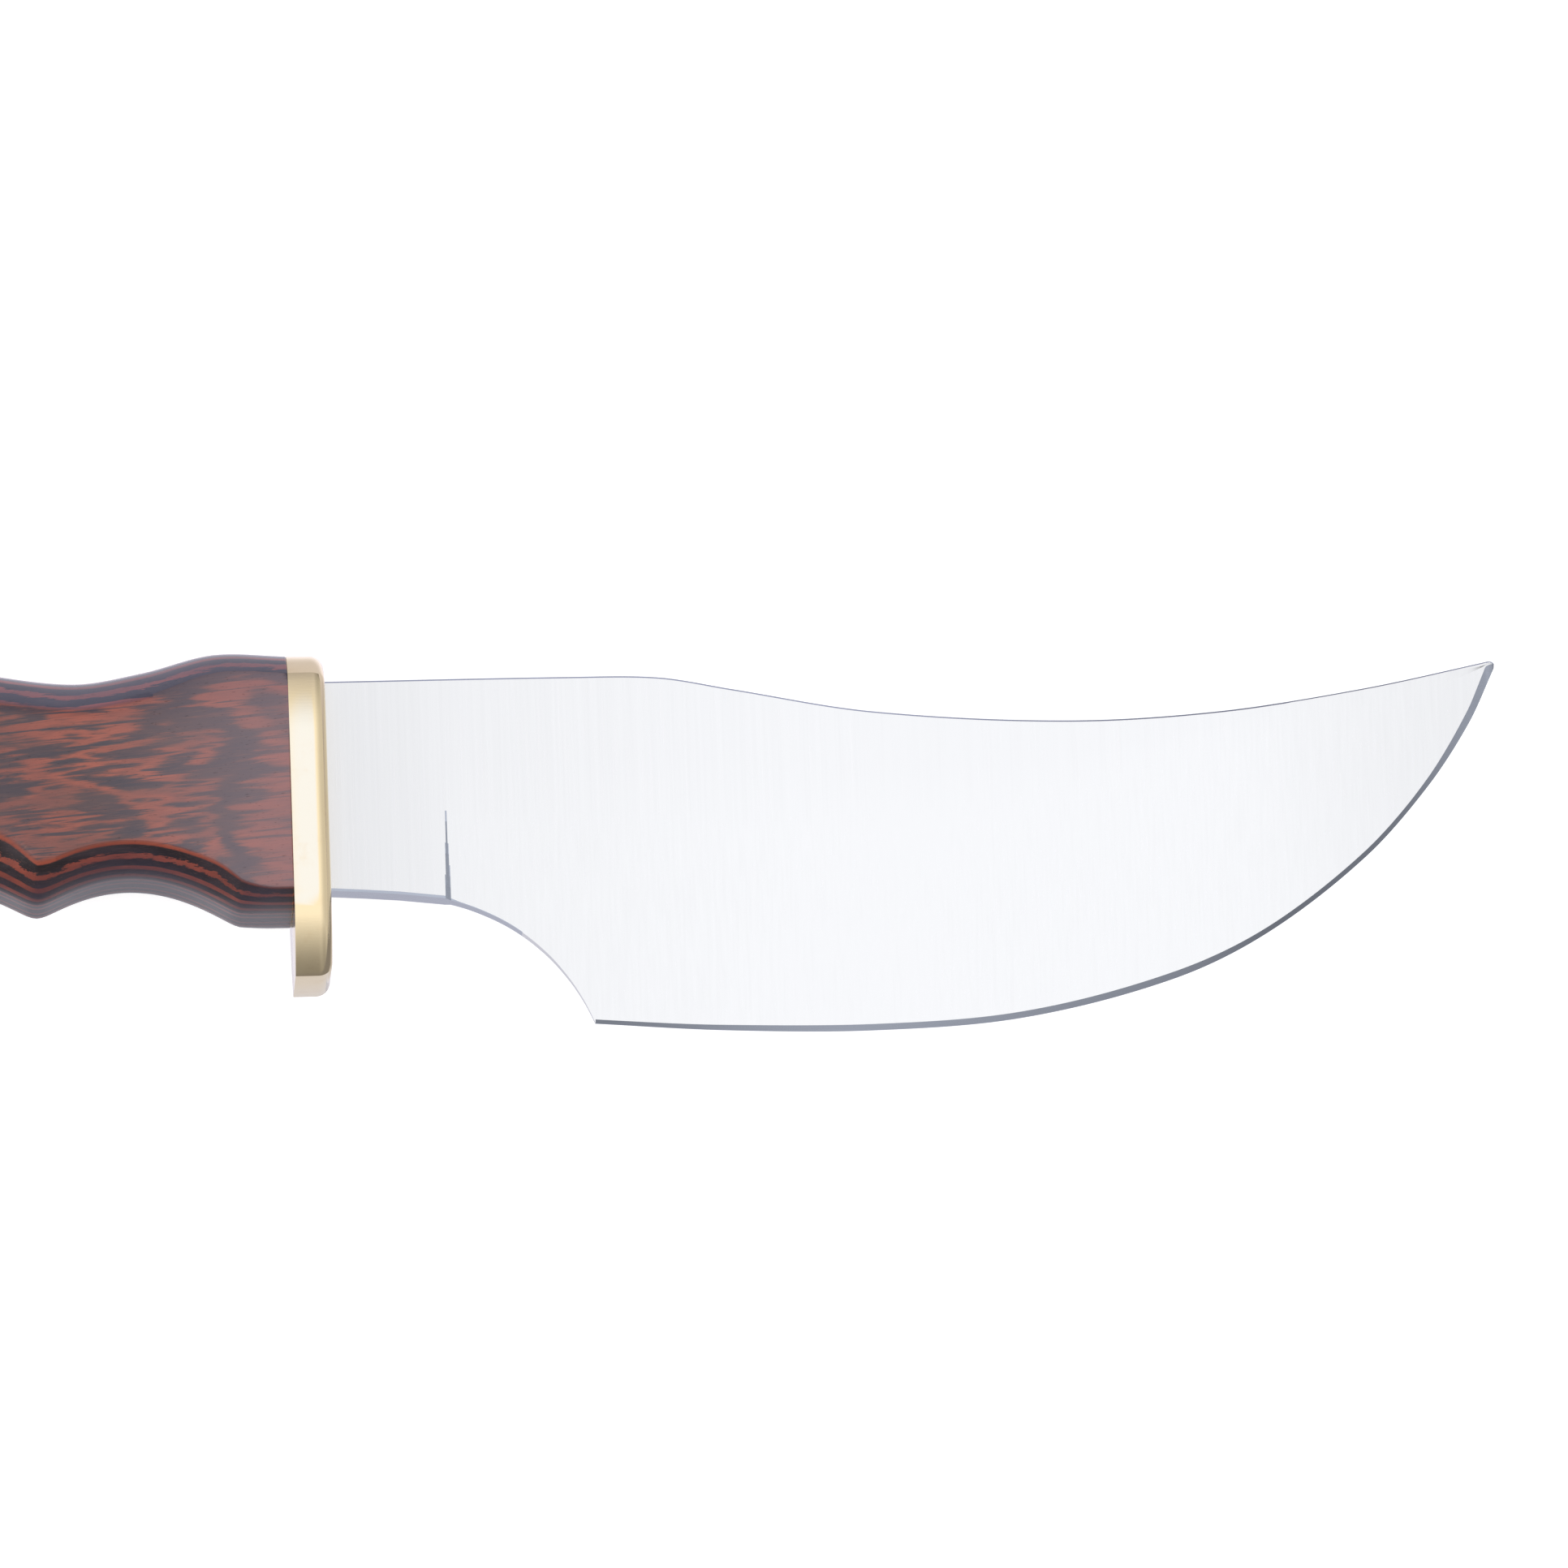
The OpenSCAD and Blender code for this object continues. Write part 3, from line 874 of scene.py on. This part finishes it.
def guard_outline():
    """Half of the guard's front outline: the long curve at the foot, then the handle's section."""
    foot = []
    for k in range(GUARD_ARC_STEPS + 1):
        a = GUARD_LEAN * (1 - k / GUARD_ARC_STEPS)
        foot.append((-GUARD_DROP + GUARD_ARC * (math.sin(GUARD_LEAN) - math.sin(a)),
                     MID - GUARD_ARC * (1 - math.cos(a))))
    top = [(y, dz) for y, dz in section(FRONT) if y > 0]
    return foot + list(reversed(top))


def make_guard():
    """The guard, its front edge rounded all round and its back edge below the handle."""
    half = guard_outline()
    outline = half + [(y, -dz) for y, dz in reversed(half[:-1])]
    bpy.ops.mesh.primitive_circle_add(vertices=len(outline), radius=1, fill_type="NGON")
    guard = bpy.context.object
    guard.name = guard.data.name = "brass_guard"
    for v, (y, dz) in zip(guard.data.vertices, outline):
        v.co = place(FRONT, y, MID + dz)
    edit(guard, "FACE")
    bpy.ops.mesh.select_all(action="SELECT")
    bpy.ops.mesh.extrude_region_move(TRANSFORM_OT_translate={"value": (GUARD_THICKNESS * MM, 0, 0)})
    face_outward()
    front = place(-HAIR, 0, 0).x
    back = place(FRONT + HAIR, 0, 0).x
    below = place(0, min(y for y, dz in section(FRONT)) - FOOT_CLEAR, 0).y
    round_over(guard, lambda v: v.x > front, GUARD_FRONT_ROUND, segments=7)
    round_over(guard, lambda v: v.x < back and v.y < below, GUARD_BACK_ROUND, segments=4)
    break_edges(guard, GUARD_EDGE, degrees=30)
    smooth(guard, degrees=40)
    return guard


# ---- putting the knife together ----

def finish_with(piece, *materials):
    """Gives a piece its materials, in the order of its slots."""
    piece.data.materials.clear()
    for m in materials:
        piece.data.materials.append(m)


steel = satin_steel("satin_steel", "Y", STEEL_COLOUR, rough=0.3)
# Edge steel, painted darker and bluer as shade and reflection, and darker still towards the tip.
ground_edge = satin_steel("ground_edge_shaded_steel", "X", GROUND_EDGE_SHADED_COLOUR, rough=0.22,
                          contrast=2.0, shade=0.85)
brass = polished_brass("polished_brass", rough=0.12)
# The pins' flat ends get only a little of the painted highlight.
pin_brass = polished_brass("pin_brass", rough=0.2, flat_highlight=0.15)

blade = make_blade()
finish_with(blade, steel, ground_edge)
# Faces on the edge strip, the spine's edges and the plunge's wall take the edge steel with painted
# shade.
for face in blade.data.polygons:
    face.material_index = 1 if takes_shaded_edge_steel(face) else 0
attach(blade, "root")
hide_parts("blade")

handle = make_handle()
finish_with(handle, laminated_wood("laminated_wood"))
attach(handle, "root")
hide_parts(*sorted(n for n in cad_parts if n.startswith("veneer_")))

guard = make_guard()
finish_with(guard, brass)
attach(guard, "root")
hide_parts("guard")

pins = make_pins()
finish_with(pins, pin_brass)
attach(pins, "root")
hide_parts("cross_pins")

tube = make_tube()
finish_with(tube, pin_brass)
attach(tube, "root")
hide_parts("lanyard_tube")

finish_with(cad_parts["tang_epoxy"], hardened_resin("hardened_resin"))

# ---- floor, light and camera ----

FLOOR_SIZE = 6
FLOOR_DROP = 0.3
FLOOR_COLOUR = (0.55, 0.55, 0.56)
DAYLIGHT = (0.978, 0.985, 1.005)
COOL_LIGHT = (0.94, 0.93, 1.08)

CAMERA_AIM = place(51.86, -0.95, MID)
CAMERA_DISTANCE = 2.0
CAMERA_TILT = math.radians(12.4)
CAMERA_SIDE = math.radians(3.4)
CAMERA_ROLL = math.radians(2.05)
FRAME_WIDTH = 177.4 * MM
SENSOR_WIDTH = 36.0


def lay_floor():
    """A plain pale floor that glows enough to leave only a trace of the knife's shadow."""
    bpy.ops.mesh.primitive_plane_add(size=FLOOR_SIZE, location=(0, 0, -FLOOR_DROP * MM))
    floor = bpy.context.object
    floor.name = "studio_floor"
    finish_with(floor, Finish("white_paper").surface(
        Base_Color=FLOOR_COLOUR, Roughness=0.9,
        Emission_Color=(1.0, 1.0, 1.0), Emission_Strength=0.8))
    floor.visible_diffuse = floor.visible_glossy = False
    return floor


def light_from_all_round():
    """A soft room, brightest overhead, and dimmer past the spine, the belly and the tip, and below."""
    world = bpy.data.worlds.new("studio")
    bpy.context.scene.world = world
    sky = Finish("studio", world)
    ahead, spineward, up = sky.axes(sky.where("Generated"))
    level = 1.15 - spineward.step(0.3, 0.78) * 0.62
    level = level - (spineward * -1.0 - 0.36).most(0.0) * 1.35
    level = level - ahead.step(0.3, 0.95) * 0.45
    under = (up * -1.0).step(-0.02, 0.1)
    bounce = (up * -1.0).step(0.5, 0.97) * 0.5 + spineward.step(0.0, 0.5) * 0.5 + 0.26
    level = level + (bounce - level) * under
    cool = spineward.step(0.45, 0.9) + spineward.step(0.0, 0.5) * under + under * 0.6
    tint = sky.mix(cool, DAYLIGHT, COOL_LIGHT)
    sky.node("OutputWorld", {}, [sky.node("Background", {}, {"Color": tint, "Strength": level})])


def softbox(name, spot, aim, size, power):
    """A square lamp that faces a point."""
    light = bpy.data.lights.new(name, "AREA")
    light.shape, light.size, light.energy = "SQUARE", size, power
    obj = bpy.data.objects.new(name, light)
    bpy.context.scene.collection.objects.link(obj)
    obj.location = spot
    obj.rotation_euler = (Vector(aim) - Vector(spot)).to_track_quat("-Z", "Y").to_euler()


def aim_camera():
    """A camera above the knife, a little towards its edge and its handle."""
    lens = bpy.data.cameras.new("camera")
    lens.sensor_width = SENSOR_WIDTH
    lens.lens = SENSOR_WIDTH * CAMERA_DISTANCE / FRAME_WIDTH
    lens.clip_start, lens.clip_end = 0.05, 20.0
    camera = bpy.data.objects.new("camera", lens)
    bpy.context.scene.collection.objects.link(camera)
    back = Vector((-math.tan(CAMERA_SIDE), -math.tan(CAMERA_TILT), 1)).normalized()
    right = Vector((math.sin(CAMERA_ROLL), math.cos(CAMERA_ROLL), 0)).cross(back).normalized()
    turn = Matrix((right, back.cross(right), back)).transposed().to_4x4()
    camera.matrix_world = Matrix.Translation(CAMERA_AIM + back * CAMERA_DISTANCE) @ turn
    bpy.context.scene.camera = camera


lay_floor()
light_from_all_round()
softbox("side_softbox", (-0.9, -0.2, 0.9), (0, 0, 0), size=0.7, power=0.5)
aim_camera()
bpy.context.scene.view_settings.view_transform = "Standard"
